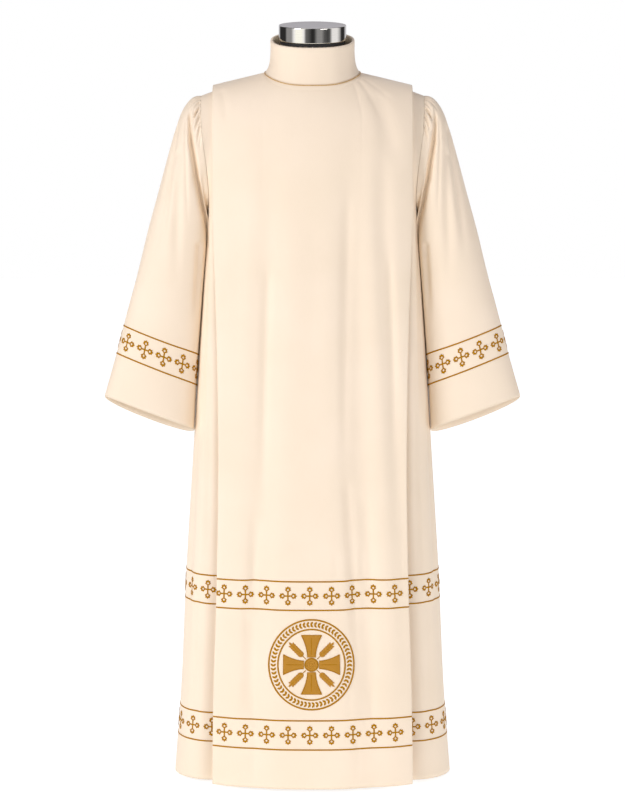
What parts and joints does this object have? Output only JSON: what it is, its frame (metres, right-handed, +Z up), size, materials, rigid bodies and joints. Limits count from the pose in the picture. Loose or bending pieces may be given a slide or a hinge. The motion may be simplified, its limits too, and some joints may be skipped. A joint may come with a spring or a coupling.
{
  "type": "alb on a dress form",
  "caption": "Long cream alb with a stand collar, gathered wide sleeves and a box-pleated front panel, on a smooth limbless dress form with a round stand.",
  "frame": {"origin": "middle of the stand's underside, on the floor", "axes": "+Z up; the front of the garment faces -Y; +X is the viewer's right in a front view"},
  "size_m": [0.83, 0.2979, 1.522],
  "materials": {
    "cloth": "fine plain weave, soft low sheen, gold satin-stitch embroidery",
    "form_cover": "smooth stretch jersey cover",
    "neck_ring": "matt black",
    "neck_cap": "turned and polished",
    "stand": "satin"
  },
  "bodies": {
    "root": {"front": "cloth", "back": "cloth", "sleeve_left": "cloth", "sleeve_right": "cloth", "collar": "cloth", "form_torso": "form_cover", "neck_ring": "neck_ring", "neck_cap": "neck_cap", "stand_pole": "stand", "stand_flange": "stand", "stand_base": "stand"}
  },
  "joints": []
}
